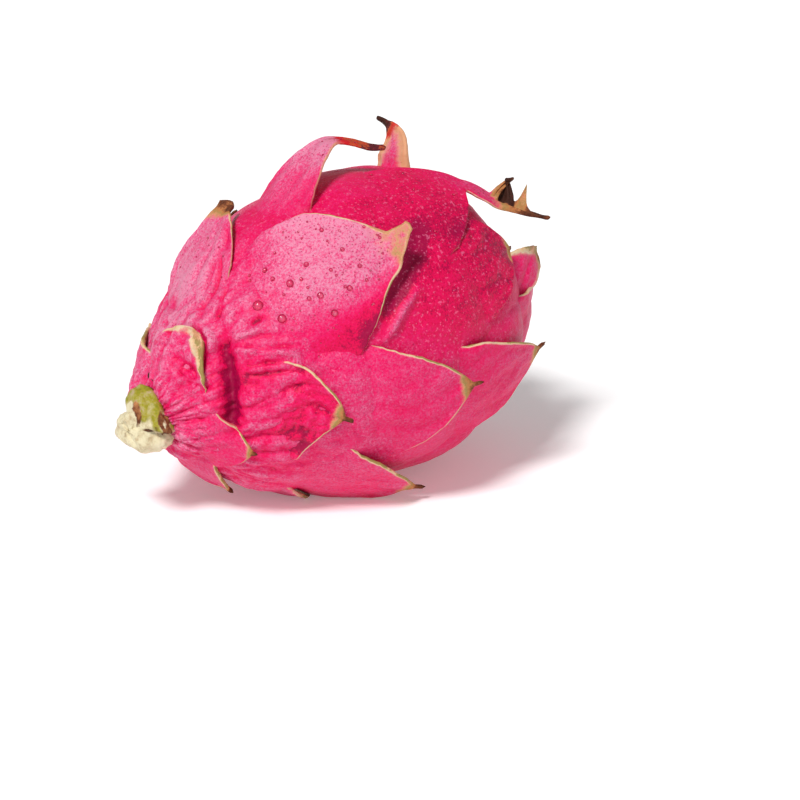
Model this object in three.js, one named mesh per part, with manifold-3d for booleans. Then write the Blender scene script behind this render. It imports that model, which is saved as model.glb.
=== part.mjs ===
// A whole red dragon fruit (pitaya), picked, lying on its side on a small flat spot.
// The peel and its leafy scales are one grown body. The three-ribbed stub of the cactus stem and the
// withered base of the flower are solids of their own, because they are another tissue and colour.
// Millimetres and degrees, +Z up. +X runs level under the fruit's long axis, from stem to flower end,
// and the origin is the middle of the flat spot.
import * as THREE from "three";
import { mergeVertices } from "three/addons/utils/BufferGeometryUtils.js";
import Module from "manifold-3d";

const wasm = await Module();
wasm.setup();

// ---- driving dimensions ----
const HALF_LENGTH = 52; // body, from its middle to either end
const RADIUS = 38; // body, at its widest
const STEM_TAPER = 0.11; // share by which the stem half is slimmer, and the flower half fuller
const STEM_SLOPE = 2.2; // how far the stem half's shoulder falls inside the oval, towards a cone
const TILT = 12; // degrees that the flower end is raised
const CENTRE = new THREE.Vector3(-1.5, 0, 37.2); // middle of the body, from the middle of the flat spot
const NAVEL_RADIUS = 12; // hollow at the flower end
const NAVEL_DEPTH = 5;
const FLOOR_SOFTENING = 1.5; // height over which what rests on the surface is pressed flat
const FLOOR_PRESS = 0.8; // how far the pressed skin would go below the surface before it is trimmed
const STUB_RADIUS = 6.6; // cactus stem stub
const STUB_LENGTH = 9.6; // what shows of it
const STUB_ROOT = 5; // what is sunk in the fruit
const STUB_RIBS = 0.14; // height of its three ribs, as a share of its radius
const REMNANT_RADIUS = 2.4; // withered flower base
const REMNANT_LENGTH = 17; // what shows of it, along its bend
const REMNANT_ROOT = 3;
const REMNANT_BEND = 75; // degrees
const REMNANT_WAY = 125; // degrees round the axis from the top, towards +Y, that it bends
const CLEARANCE = 0.3; // between the fruit and what stands in it
const BODY_SIDES = 48;
const BODY_RINGS = 28;

// ---- the scales ----
// along and around place the middle of a scale's base: degrees from the stem end along the body, and
// degrees round the axis from the top, towards +Y. length runs from base to tip.
// blade is the share of the length that the broad blade takes, and strap the width of the narrow tip.
// fullness is how long the blade keeps its width: 1 tapers from the base on.
// bends are [from, to, degrees] along the length, outwards if positive, and sways the same sideways.
// rise is how far the base stands out of the body, and rolls turns the lower and the upper side edge
// outwards, in mm. skew is the share by which the upper half is wider than the lower one.
const COMMON = {
  blade: 0.93, fullness: 2, strap: 4, rise: 2.6, rolls: [0, 0],
  bends: [[0.1, 0.6, 10], [0.7, 1, 15]], sways: [], skew: 0,
};
const ROWS = [
  { name: "collar", along: 13, around: -25, count: 5, length: 22, width: 22, rise: 2.4, strap: 3 },
  { name: "shoulder", along: 34, around: 13, count: 4, length: 34, width: 28, rise: 1.8 },
  { name: "lower", along: 48, around: -43, count: 4, length: 42, width: 37, rise: 3 },
  { name: "middle", along: 64, around: 5, count: 4, length: 42, width: 36 },
  { name: "upper", along: 86, around: -20, count: 4, length: 44, width: 35 },
  { name: "outer", along: 104, around: 22, count: 4, length: 38, width: 29 },
  { name: "crown", along: 124, around: -25, count: 4, length: 32, width: 23, blade: 0.9 },
  { name: "navel", along: 143, around: 20, count: 5, length: 24, width: 15, rise: 1.6, strap: 2.5 },
];
// Scales that grew unlike the rule of their row.
const SPECIAL = {
  collar_1: {
    around: -17, length: 20, width: 22.5, blade: 0.98, fullness: 3, strap: 3, rise: 3, rolls: [1, 0.3],
    bends: [[0.1, 0.8, 8]],
  },
  collar_2: { along: 8, around: 60, length: 27.5, rise: 4.2, bends: [[0.1, 0.5, -4], [0.6, 1, 20]] },
  collar_5: { around: -110, length: 19 },
  shoulder_1: {
    along: 29, around: 9, length: 41, width: 32.4, skew: 0.22, fullness: 3.2, rise: 1, strap: 9,
    bends: [[0.1, 0.5, 14], [0.85, 1, -10]], sways: [[0.5, 1, 14]],
  },
  shoulder_4: {
    along: 31, around: -88, length: 33, width: 36, rise: 2.2,
    bends: [[0.1, 0.6, 8], [0.7, 1, 10]], sways: [[0.4, 1, -32]],
  },
  lower_1: {
    along: 47, around: -50, length: 52, width: 42, skew: 0.12, blade: 0.88, fullness: 3.4, rise: 3.2,
    strap: 17, bends: [[0.2, 0.7, 6], [0.8, 0.86, 46], [0.86, 1, 15]],
    sways: [[0, 0.25, 10], [0.3, 0.7, -6], [0.86, 1, 12]],
  },
  lower_2: { around: 58, length: 43, rise: 1.8 },
  middle_1: {
    along: 65.5, around: 0, length: 52, width: 29, skew: -0.08, blade: 0.78, fullness: 1.1,
    bends: [[0.05, 0.5, 26.5], [0.62, 0.78, -44], [0.88, 1, 30]], sways: [[0.6, 0.85, -22]],
  },
  middle_3: { around: 178, rise: 1.6, bends: [[0.7, 1, 12]] },
  middle_4: { around: -98 },
  upper_1: {
    along: 84, around: -27, length: 70, width: 55, skew: -0.11, blade: 0.7, fullness: 1.4, strap: 6,
    bends: [[0.2, 0.6, 8], [0.5, 0.7, 6], [0.76, 0.84, 30], [0.88, 1, 45]],
    sways: [[0.2, 0.5, 6], [0.55, 0.75, -54]],
  },
  outer_1: {
    along: 118, around: 8, length: 20.5, width: 18, blade: 0.82, fullness: 1.1, strap: 3, rise: 0.8,
    bends: [[0.05, 0.35, 74], [0.5, 1, 65]], sways: [[0.25, 0.9, 65]],
  },
  outer_4: { along: 104, around: -62, length: 35, width: 34, rise: 1.6, bends: [[0.1, 0.6, 4]] },
  crown_1: {
    along: 132, around: -80, length: 34, width: 14, rise: 1.2, bends: [[0.1, 0.5, 30], [0.7, 1, 25]],
  },
};
// How much the other scales differ from their row: degrees, degrees, and shares of length and width.
const VARIETY = { around: 9, along: 3, length: 0.08, width: 0.06 };
const BASE_WIDTH = 0.8; // of a blade, as a share of its full width
const BLADE_END = 0.8; // how bluntly a blade closes: 0.5 is a round end, 1 a pointed one
const STRAP_END = 0.12; // share of the length over which a tip keeps the width it ends with
const STRAP_TAPER = 0.4; // how fast a tip narrows: 0 not at all, 1 evenly
const CUP = [1.1, 0.95, 0.3]; // how much a scale arches across at base, middle and tip: 1 as the body does
const BASE_THICKNESS = 4.5;
const TIP_THICKNESS = 1.1;
const EDGE_THINNING = 0.3; // share of its thickness that a blade loses towards its edges
const SINK = 1.6; // how deep the sides of a scale's base are sunk in the body
const SPINE_STEPS = 72; // steps in which a scale's middle line is worked out

// ---- helpers ----
const radians = (degrees) => (degrees * Math.PI) / 180;
const mix = (a, b, t) => a + (b - a) * t;
const smooth = (from, to, x) => THREE.MathUtils.smoothstep(x, from, to);
const axes = (u, a, v, b) => u.clone().multiplyScalar(a).addScaledVector(v, b);
// A fixed number from -1 to 1 for each pair of seeds.
const draw = (a, b) => {
  const x = Math.sin(a * 12.9898 + b * 78.233) * 43758.5453;
  return 2 * (x - Math.floor(x)) - 1;
};

const AXIS = new THREE.Vector3(Math.cos(radians(TILT)), 0, Math.sin(radians(TILT)));
const SIDE = new THREE.Vector3(0, 1, 0);
const UP = new THREE.Vector3().crossVectors(AXIS, SIDE);

// ---- the body ----
// Distance from the axis and along it, at an angle from the stem end.
function profile(along) {
  const slope = along < Math.PI / 2 ? STEM_SLOPE * Math.sin(2 * along) ** 2 : 0;
  const out = RADIUS * Math.sin(along) * (1 - STEM_TAPER * Math.cos(along)) - slope;
  const navel = along > Math.PI / 2 ? Math.exp(-2 * (out / NAVEL_RADIUS) ** 2) : 0;
  return [out, -HALF_LENGTH * Math.cos(along) - NAVEL_DEPTH * navel];
}

const radialAt = (around) => axes(UP, Math.cos(around), SIDE, Math.sin(around));

// The plain body's point, two tangents and normal at two angles in radians, with its distance from the
// axis and its length per radian there.
function bodyFrame(along, around) {
  const step = 1e-4;
  const [out, ahead] = profile(along);
  const [outNext, aheadNext] = profile(along + step);
  const radial = radialAt(around);
  const point = CENTRE.clone().addScaledVector(AXIS, ahead).addScaledVector(radial, out);
  const speed = Math.hypot(outNext - out, aheadNext - ahead) / step;
  const tangent = axes(radial, outNext - out, AXIS, aheadNext - ahead).normalize();
  const cross = radialAt(around + Math.PI / 2);
  const normal = new THREE.Vector3().crossVectors(tangent, cross);
  return { point, tangent, cross, normal, radial, out, speed };
}

// Presses what comes close to the surface flat, without letting one layer pass another.
function pressed(point) {
  const softened = point.z + FLOOR_PRESS - FLOOR_SOFTENING;
  if (softened < 0) point.z = FLOOR_SOFTENING * Math.exp(softened / FLOOR_SOFTENING) - FLOOR_PRESS;
  return point;
}

// How far the bases of the scales lift the body's surface at a point.
function swelling(along, around, scales) {
  const { out, speed } = bodyFrame(along, around);
  const swells = scales.map((s) => {
    const turn = around - radians(s.around);
    const ahead = ((along - radians(s.along)) * speed) / s.length;
    const aside = (Math.atan2(Math.sin(turn), Math.cos(turn)) * out) / (s.width / 2);
    return s.rise * smooth(-0.55, 0.06, ahead) * (1 - smooth(0.12, 0.5, ahead)) * Math.exp(-(aside ** 4));
  });
  return Math.max(...swells);
}

// ---- a scale ----
// Every scale of the fruit, by the rule of its row, with small seeded differences.
function allScales() {
  return ROWS.flatMap((row, r) => Array.from({ length: row.count }, (_, i) => {
    const name = `${row.name}_${i + 1}`;
    const vary = (k) => (i > 0 ? draw(r * 7 + i, k) : 0);
    return {
      ...COMMON, ...row,
      around: row.around + (360 / row.count) * i + VARIETY.around * vary(1),
      along: row.along + VARIETY.along * vary(2),
      length: row.length * (1 + VARIETY.length * vary(3)),
      width: row.width * (1 + VARIETY.width * vary(4)),
      ...SPECIAL[name],
    };
  }));
}

function halfWidth(s, u, side) {
  const opening = mix(BASE_WIDTH, 1, smooth(0, 0.25, u));
  const blade = Math.max(0, 1 - (u / s.blade) ** s.fullness) ** BLADE_END * opening;
  const strap = (s.strap / 2) * Math.max(STRAP_END, 1 - u) ** STRAP_TAPER;
  return Math.hypot((s.width / 2) * (1 + side * s.skew) * blade, strap);
}

const turned = (turns, u) =>
  turns.reduce((sum, [from, to, degrees]) => sum + radians(degrees) * smooth(from, to, u), 0);

// The scale's middle line, as a frame at each step from base to tip.
function spine(s) {
  const around = radians(s.around);
  const step = s.length / SPINE_STEPS;
  let along = radians(s.along);
  const start = bodyFrame(along, around);
  const place = start.point.addScaledVector(start.normal, s.rise - 0.5);
  return Array.from({ length: SPINE_STEPS + 1 }, (_, i) => {
    const u = i / SPINE_STEPS;
    const body = bodyFrame(Math.min(along, radians(168)), around);
    const bend = turned(s.bends, u);
    const sway = turned(s.sways, u);
    const ahead = axes(body.tangent, Math.cos(bend), body.normal, Math.sin(bend));
    const frame = {
      point: place.clone(),
      tangent: axes(ahead, Math.cos(sway), body.cross, Math.sin(sway)),
      cross: axes(body.cross, Math.cos(sway), ahead, -Math.sin(sway)),
      normal: axes(body.normal, Math.cos(bend), body.tangent, -Math.sin(bend)),
      across: body.out / Math.max(0.35, body.normal.dot(body.radial)),
    };
    place.addScaledVector(frame.tangent, step);
    along += (step * Math.cos(Math.min(bend, 1.2))) / body.speed;
    return frame;
  });
}

// The point at u from base to tip, v from edge to edge and depth from the outer face to the inner one.
function scalePoint(s, frames, u, v, depth) {
  const f = frames[Math.round(u * SPINE_STEPS)];
  const [base, middle, tip] = CUP;
  const curve = (u < 0.5 ? mix(base, middle, u * 2) : mix(middle, tip, u * 2 - 1)) / f.across;
  const angle = v * halfWidth(s, u, Math.sign(v)) * curve;
  const free = smooth(0, 0.5, u);
  const rolled = smooth(0.35, 1, Math.abs(v)) ** 1.6 * smooth(0.15, 0.45, u);
  const roll = (v < 0 ? s.rolls[0] : s.rolls[1]) * rolled;
  const lift = (Math.cos(angle) - 1) / curve + roll - (s.rise + SINK) * (1 - free) * v * v;
  const thinned = 1 - EDGE_THINNING * v * v * free;
  const thickness = mix(TIP_THICKNESS, BASE_THICKNESS, (1 - u) ** 2.5) * thinned;
  return f.point.clone()
    .addScaledVector(f.cross, Math.sin(angle) / curve)
    .addScaledVector(f.normal, lift)
    .addScaledVector(axes(f.normal, Math.cos(angle), f.cross, Math.sin(angle)), -thickness * depth);
}

// ---- solids ----
// Moves each vertex of a geometry to where the function says.
function shaped(geometry, place) {
  const position = geometry.getAttribute("position");
  const from = new THREE.Vector3();
  for (let i = 0; i < position.count; i++) {
    const to = place(from.fromBufferAttribute(position, i));
    position.setXYZ(i, to.x, to.y, to.z);
  }
  return geometry;
}

function turnedOver(geometry) {
  const corners = geometry.index.array;
  for (let i = 0; i < corners.length; i += 3) [corners[i], corners[i + 1]] = [corners[i + 1], corners[i]];
  return geometry;
}

function solidOf(geometries) {
  const positions = geometries.flatMap((g) => [...g.toNonIndexed().getAttribute("position").array]);
  const soup = new THREE.BufferGeometry();
  soup.setAttribute("position", new THREE.Float32BufferAttribute(positions, 3));
  const merged = mergeVertices(soup, 1e-4);
  return new wasm.Manifold(new wasm.Mesh({
    numProp: 3,
    vertProperties: merged.getAttribute("position").array,
    triVerts: new Uint32Array(merged.index.array),
  }));
}

function geometryOf(solid) {
  const { vertProperties, triVerts } = solid.getMesh();
  const geometry = new THREE.BufferGeometry();
  geometry.setAttribute("position", new THREE.BufferAttribute(vertProperties, 3));
  return geometry.setIndex(new THREE.BufferAttribute(triVerts, 1));
}

// A blade: the same grid for both faces, and a band round their edge. Each grid is laid out with one
// unit to a cell, so that the three share their corners.
function scaleSolid(s) {
  const frames = spine(s);
  const rows = s.length > 26 ? 10 : 6;
  const columns = s.width > 24 ? 6 : 4;
  const at = (column, row, depth) =>
    pressed(scalePoint(s, frames, row / rows, (2 * column) / columns - 1, depth));
  const face = (depth) => shaped(new THREE.PlaneGeometry(columns, rows, columns, rows), (p) =>
    at(Math.round(p.x + columns / 2), Math.round(p.y + rows / 2), depth));
  // Once round the grid's edge, cell by cell: along the base, up one side, back along the tip and down.
  const round = 2 * (columns + rows);
  const edge = (k) => {
    const i = k % round;
    if (i <= columns) return [i, 0];
    if (i <= columns + rows) return [columns, i - columns];
    if (i <= 2 * columns + rows) return [2 * columns + rows - i, rows];
    return [0, round - i];
  };
  const band = shaped(new THREE.PlaneGeometry(round, 1, round, 1), (p) =>
    at(...edge(Math.round(p.x + round / 2)), p.y > 0 ? 0 : 1));
  return solidOf([turnedOver(face(0)), face(1), turnedOver(band)]);
}

function bodySolid(scales) {
  const ball = new THREE.SphereGeometry(1, BODY_SIDES, BODY_RINGS).rotateZ(Math.PI / 2);
  return solidOf([shaped(ball, (p) => {
    const along = Math.acos(THREE.MathUtils.clamp(-p.x, -1, 1));
    const around = Math.atan2(p.y, p.z);
    const f = bodyFrame(along, around);
    return pressed(f.point.addScaledVector(f.normal, swelling(along, around, scales)));
  })]);
}

// A turned outline of [radius, height] pairs. Heights run outwards from base, and bend towards way.
// ribs gives the radius its share at each angle.
function turnedSolid(outline, sides, { base, outwards, way, bend }, ribs) {
  const lathe = new THREE.LatheGeometry(outline.map(([r, h]) => new THREE.Vector2(r, h)), sides);
  const side = new THREE.Vector3().crossVectors(outwards, way);
  const top = outline.at(-1)[1];
  return solidOf([shaped(lathe, (p) => {
    const angle = Math.atan2(p.z, p.x);
    const radius = Math.hypot(p.x, p.z) * ribs(angle);
    const turn = Math.max(0, (radians(bend) * p.y) / top);
    const reach = turn > 0 ? (Math.sin(turn) / turn) * p.y : p.y;
    const drift = turn > 0 ? ((1 - Math.cos(turn)) / turn) * p.y : 0;
    return base.clone()
      .addScaledVector(outwards, reach - radius * Math.cos(angle) * Math.sin(turn))
      .addScaledVector(way, drift + radius * Math.cos(angle) * Math.cos(turn))
      .addScaledVector(side, -radius * Math.sin(angle));
  })]);
}

function stubSolid(grow) {
  const r = STUB_RADIUS + grow;
  const outline = [
    [0, -STUB_ROOT - grow], [r * 0.8, -STUB_ROOT - grow], [r * 0.95, 0], [r * 1.08, STUB_LENGTH * 0.3],
    [r, STUB_LENGTH * 0.65], [r * 0.86, STUB_LENGTH * 0.92], [r * 0.6, STUB_LENGTH], [0, STUB_LENGTH],
  ];
  const stance = { base: bodyFrame(0, 0).point, outwards: AXIS.clone().negate(), way: UP, bend: 0 };
  return turnedSolid(outline, 24, stance, (angle) => 1 + STUB_RIBS * Math.cos(3 * angle));
}

function remnantSolid(grow) {
  const r = REMNANT_RADIUS + grow;
  const outline = [
    [0, -REMNANT_ROOT - grow], [r * 1.5, -REMNANT_ROOT - grow], [r * 1.5, 0.5], [r, 3],
    [r * 0.85, REMNANT_LENGTH * 0.5], [r * 0.9, REMNANT_LENGTH * 0.8], [r * 1.1, REMNANT_LENGTH * 0.93],
    [r * 0.7, REMNANT_LENGTH], [0, REMNANT_LENGTH],
  ];
  const base = bodyFrame(Math.PI, 0).point;
  const stance = { base, outwards: AXIS, way: radialAt(radians(REMNANT_WAY)), bend: REMNANT_BEND };
  return turnedSolid(outline, 12, stance, () => 1);
}

function fruitSolid() {
  const scales = allScales();
  const ground = solidOf([new THREE.BoxGeometry(400, 400, 20).translate(0, 0, -10)]);
  const grown = scales.reduce((fruit, s) => fruit.add(scaleSolid(s)), bodySolid(scales));
  return grown.subtract(stubSolid(CLEARANCE)).subtract(remnantSolid(CLEARANCE)).subtract(ground);
}

// ---- the scene graph ----
function piece(name, solid, color, roughness) {
  const material = new THREE.MeshStandardMaterial({ color, roughness, metalness: 0, flatShading: true });
  const mesh = new THREE.Mesh(geometryOf(solid), material);
  mesh.name = name;
  return mesh;
}

const dragonFruit = new THREE.Group();
dragonFruit.add(piece("fruit", fruitSolid(), 0xd81b5c, 0.45));
dragonFruit.add(piece("stem_stub", stubSolid(0), 0xb9bd7a, 0.7));
dragonFruit.add(piece("flower_remnant", remnantSolid(0), 0x3a2620, 0.85));

export default dragonFruit;
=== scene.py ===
"""A whole red dragon fruit on its side: waxy pink peel with leafy scales, stem stub, dry flower and dew.

Lengths are in millimetres and angles in degrees until a mesh is finished, which turns it to metres.
"""
import math
import random

import bmesh
import bpy
from mathutils import Matrix, Vector, noise


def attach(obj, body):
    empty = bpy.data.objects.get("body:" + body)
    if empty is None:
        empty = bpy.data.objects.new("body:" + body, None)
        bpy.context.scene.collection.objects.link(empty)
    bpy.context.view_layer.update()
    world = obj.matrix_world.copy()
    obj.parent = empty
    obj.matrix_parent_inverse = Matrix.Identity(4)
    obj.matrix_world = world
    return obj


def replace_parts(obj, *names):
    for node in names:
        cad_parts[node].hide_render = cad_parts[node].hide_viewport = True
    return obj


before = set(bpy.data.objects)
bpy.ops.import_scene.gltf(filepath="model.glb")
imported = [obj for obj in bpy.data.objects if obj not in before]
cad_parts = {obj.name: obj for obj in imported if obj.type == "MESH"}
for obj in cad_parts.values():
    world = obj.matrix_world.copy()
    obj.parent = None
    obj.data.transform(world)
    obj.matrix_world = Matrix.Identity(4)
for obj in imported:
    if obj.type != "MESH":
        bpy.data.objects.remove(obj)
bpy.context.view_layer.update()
MM = 0.001

# ---- the fruit's driving dimensions, as in its solids ----
HALF_LENGTH = 52
RADIUS = 38
STEM_TAPER = 0.11
STEM_SLOPE = 2.2
TILT = 12
CENTRE = Vector((-1.5, 0, 37.2))
NAVEL_RADIUS = 12
NAVEL_DEPTH = 5
FLOOR_SOFTENING = 1.5
FLOOR_PRESS = 0.8
STUB_RIBS = 0.14
REMNANT_BEND = 75
REMNANT_WAY = 125
BASE_WIDTH = 0.8
BLADE_END = 0.8
CUP = (1.1, 0.95, 0.3)
BASE_THICKNESS = 4.5
TIP_THICKNESS = 1.1
EDGE_THINNING = 0.3
SINK = 1.6
UNDER_SKIN = 0.6
END_ROUNDING = 0.8
FULL_ROLL = 60  # degrees from which a lobe rolls right in to the middle
NEARBY = 0.01  # the share of the length over which an edge's slope is taken

# ---- fineness of the meshes ----
BODY_SIDES = 380
BODY_RINGS = 250
RIM_STEPS = 3

# ---- the scales ----
# The shape words are those of the solids. along and around place the base, in degrees from the stem's end
# and from the top. bends, sways and twists are lists of (from, to, degrees) along the length. skew is the
# share by which the upper half is wider, and taper how fast the strap narrows. wave is the waviness of the
# edges, and ridges and crumple are the heights of the long and of the small wrinkles, all in mm. curls are
# the degrees that the lower and the upper edge roll outwards, curl_width how far in. fine is the mesh's.
#
# The finish words are these. bloom is how pale the waxy bloom is, from 0, deep crimson, to 1. lean is how
# much paler the upper half is, fall how much deeper the lower corner of the base is, partly
# its own crimson and partly painted shade, and paling how much paler the half by the tip is. mottle is how
# patchy the bloom is, and specks how many pale specks it has: painted glints of light on fine dew.
# margins are the mm of cream at the lower and the upper edge, from the share creamed of the length on.
# dry is the withered share of the length, wither how brown it is, and redness is 0 where edges and tip dry
# to straw and 1 where they dry to red.
COMMON = dict(
    blade=0.93, fullness=2, strap=4, rise=2.6, bends=[(0.1, 0.6, 10), (0.7, 1, 15)], sways=[], twists=[],
    skew=0, taper=0.5, wave=0.9, ridges=0.5, crumple=0.25, curls=(18, 18), curl_width=3, lobes=[], fine=1,
    bloom=0.45, lean=0.1, fall=0, paling=0, mottle=0.35, specks=0.3, margins=(0.5, 0.5), creamed=0.3,
    dry=0.12, wither=0.8, redness=0,
)
# A lobe on an edge: the share of the length that it is at, its side (1 upper, -1 lower), how many mm it
# reaches each way and stands out (a notch, if below 0), the power that squares its outline, the degrees
# that it rolls, and the share of the withering that it takes away (or adds, if below 0).
LOBE = dict(power=2, roll=0, wither=0)
ROWS = [
    dict(name="collar", along=13, around=-25, count=5, length=22, width=22, rise=2.4, strap=3),
    dict(name="shoulder", along=34, around=13, count=4, length=34, width=28, rise=1.8),
    dict(name="lower", along=48, around=-43, count=4, length=42, width=37, rise=3),
    dict(name="middle", along=64, around=5, count=4, length=42, width=36, bloom=0.3),
    dict(name="upper", along=86, around=-20, count=4, length=44, width=35, bloom=0.2),
    dict(name="outer", along=104, around=22, count=4, length=38, width=29, bloom=0.15),
    dict(name="crown", along=124, around=-25, count=4, length=32, width=23, blade=0.9, bloom=0.25),
    dict(name="navel", along=143, around=20, count=5, length=24, width=15, rise=1.6, strap=2.5, bloom=0.4),
    dict(name="bract", along=9.5, around=-30, count=1, length=8.5, width=2.2, rise=2.5, strap=1.2),
]
SPECIAL = dict(
    bract_1=dict(
        fullness=1.4, bends=[(0.2, 1, 20)], sways=[(0, 0.3, 75)], margins=(0, 0), dry=1.1, wither=0.95,
        fine=1.2,
    ),
    collar_1=dict(
        around=-19, length=19.4, width=23.5, skew=-0.08, fullness=2.8, blade=0.98, strap=3, rise=3,
        bends=[(0.1, 0.8, 8)], sways=[(0.3, 1, -20)], lobes=[dict(at=0.78, side=-1, long=4.5, wide=1.1)],
        bloom=0.5, crumple=1.2, ridges=0.8, mottle=1, curls=(30, 20), margins=(6, 3), creamed=0.6,
        dry=0.08, wither=0.2, fine=2,
    ),
    collar_2=dict(
        along=8, around=60, length=27.5, rise=4.2, bends=[(0.1, 0.5, -4), (0.6, 1, 20)], bloom=0.5, mottle=1,
        margins=(1.4, 1.2), wither=0, fine=1.5,
    ),
    shoulder_1=dict(
        along=29, around=9, length=41, width=32.4, skew=0.22, fullness=3.2, rise=1, strap=6,
        bends=[(0.1, 0.5, 14), (0.85, 1, -10)], sways=[(0.5, 0.85, 14), (0.87, 1, -45)],
        bloom=0.88, ridges=1, crumple=0.15,
        lobes=[
            dict(at=0.93, side=1, long=2.5, wide=2.8), dict(at=0.94, side=-1, long=2.5, wide=2.4),
            dict(at=0.955, side=1, long=0.7, wide=2.6, power=1),
        ],
        curls=(4, 12), margins=(1.2, 0.4), creamed=0.78, redness=0.15, dry=0.1, wither=0.75, fine=2,
    ),
    # Its low bloom and deeper lower corner are partly its own crimson and partly painted shade.
    shoulder_4=dict(
        along=31, around=-88, length=33, width=36, rise=2.2, bends=[(0.1, 0.6, 8), (0.7, 1, 10)],
        sways=[(0.4, 1, -32)], bloom=0.12, lean=1.2, fall=0.25, ridges=0.7, crumple=0.9, mottle=0.6, fine=2,
    ),
    # Its much deeper lower corner is partly its own crimson and partly painted shade where it faces down.
    lower_1=dict(
        along=47, around=-50, length=52, width=42, skew=0.12, blade=0.88, fullness=3.4, rise=3.2, strap=17,
        bends=[(0.2, 0.7, 6), (0.8, 0.86, 46), (0.86, 1, 15)],
        sways=[(0, 0.25, 10), (0.3, 0.7, -6), (0.86, 1, 12)],
        lobes=[dict(at=0.86, side=-1, long=3, wide=1.8), dict(at=0.68, side=-1, long=8, wide=-2.2)],
        bloom=0.88, lean=0.2, fall=1.3, ridges=0.35, crumple=0.1, curls=(12, 18), margins=(0.9, 0.8),
        creamed=0.58, wither=0.3, dry=0.17, mottle=0.5, specks=0, fine=2,
    ),
    collar_5=dict(around=-110, length=19, creamed=0.75),
    lower_2=dict(around=58, length=43, rise=1.8),
    middle_1=dict(
        along=65.5, around=0, length=52, width=29, skew=-0.08, blade=0.76, fullness=1.1, strap=9.5,
        bends=[(0.05, 0.5, 26.5), (0.62, 0.78, -44), (0.88, 1, 30)], sways=[(0.6, 0.85, -22)],
        twists=[(0.72, 1, 30)], lobes=[dict(at=0.77, side=1, long=4, wide=1.5)],
        bloom=0.62, lean=0.2, paling=0.7, margins=(0.5, 0.4), creamed=0.5,
        dry=0.22, wither=0.68, redness=1, fine=2,
    ),
    middle_4=dict(around=-98),
    middle_3=dict(around=178, rise=1.6, bends=[(0.7, 1, 12)]),
    # Its deeper lower corner, beside the large lower scale's edge, is partly painted shade.
    upper_1=dict(
        along=84, around=-27, length=70, width=55, skew=-0.11, blade=0.66, fullness=1.4, strap=13,
        taper=0.95, bends=[(0.2, 0.6, 8), (0.5, 0.7, 6), (0.76, 0.84, 30), (0.88, 1, 45)],
        sways=[(0.2, 0.5, 6), (0.55, 0.75, -54)], twists=[(0.84, 0.88, 25), (0.94, 1, -70)],
        lobes=[
            dict(at=0.72, side=-1, long=4, wide=2), dict(at=0.79, side=-1, long=3, wide=0.6),
            dict(at=0.75, side=1, long=5, wide=0.8),
            dict(at=0.814, side=1, long=2.5, wide=5.6, power=4, roll=110, wither=-2.6),
            dict(at=0.887, side=1, long=0.7, wide=8, power=1, wither=0.5),
        ],
        bloom=-0.08, fall=0.25, paling=0.55, ridges=0.2, crumple=0.1, mottle=0.2, specks=1,
        margins=(0.6, 0.9), creamed=0.85, dry=0.17, redness=0.15, fine=3,
    ),
    outer_1=dict(
        along=118, around=8, length=20.5, width=18, fullness=1.1, blade=0.82, strap=5, rise=0.8,
        bends=[(0.05, 0.35, 74), (0.5, 1, 65)], sways=[(0.25, 0.9, 65)],
        bloom=0.7, margins=(4.5, 6), creamed=-0.1, dry=0.27, wither=1, redness=0.9, fine=3,
    ),
    # Its bloom below 0 is partly its own deep purple and partly painted shade.
    outer_4=dict(
        along=104, around=-62, length=35, width=34, rise=1.6, bends=[(0.1, 0.6, 4)], bloom=-0.15, specks=1,
        creamed=0.9, fine=1.5,
    ),
    navel_5=dict(length=20, rise=1, bends=[(0.1, 0.6, -14)]),
    crown_1=dict(
        along=132, around=-80, length=34, width=14, rise=1.2, bends=[(0.1, 0.5, 30), (0.7, 1, 25)],
        bloom=0.3, wither=0.5, dry=0.3, margins=(2, 3), fine=1.5,
    ),
)
VARIETY = dict(around=9, along=3, length=0.08, width=0.06, bloom=0.12)
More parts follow.
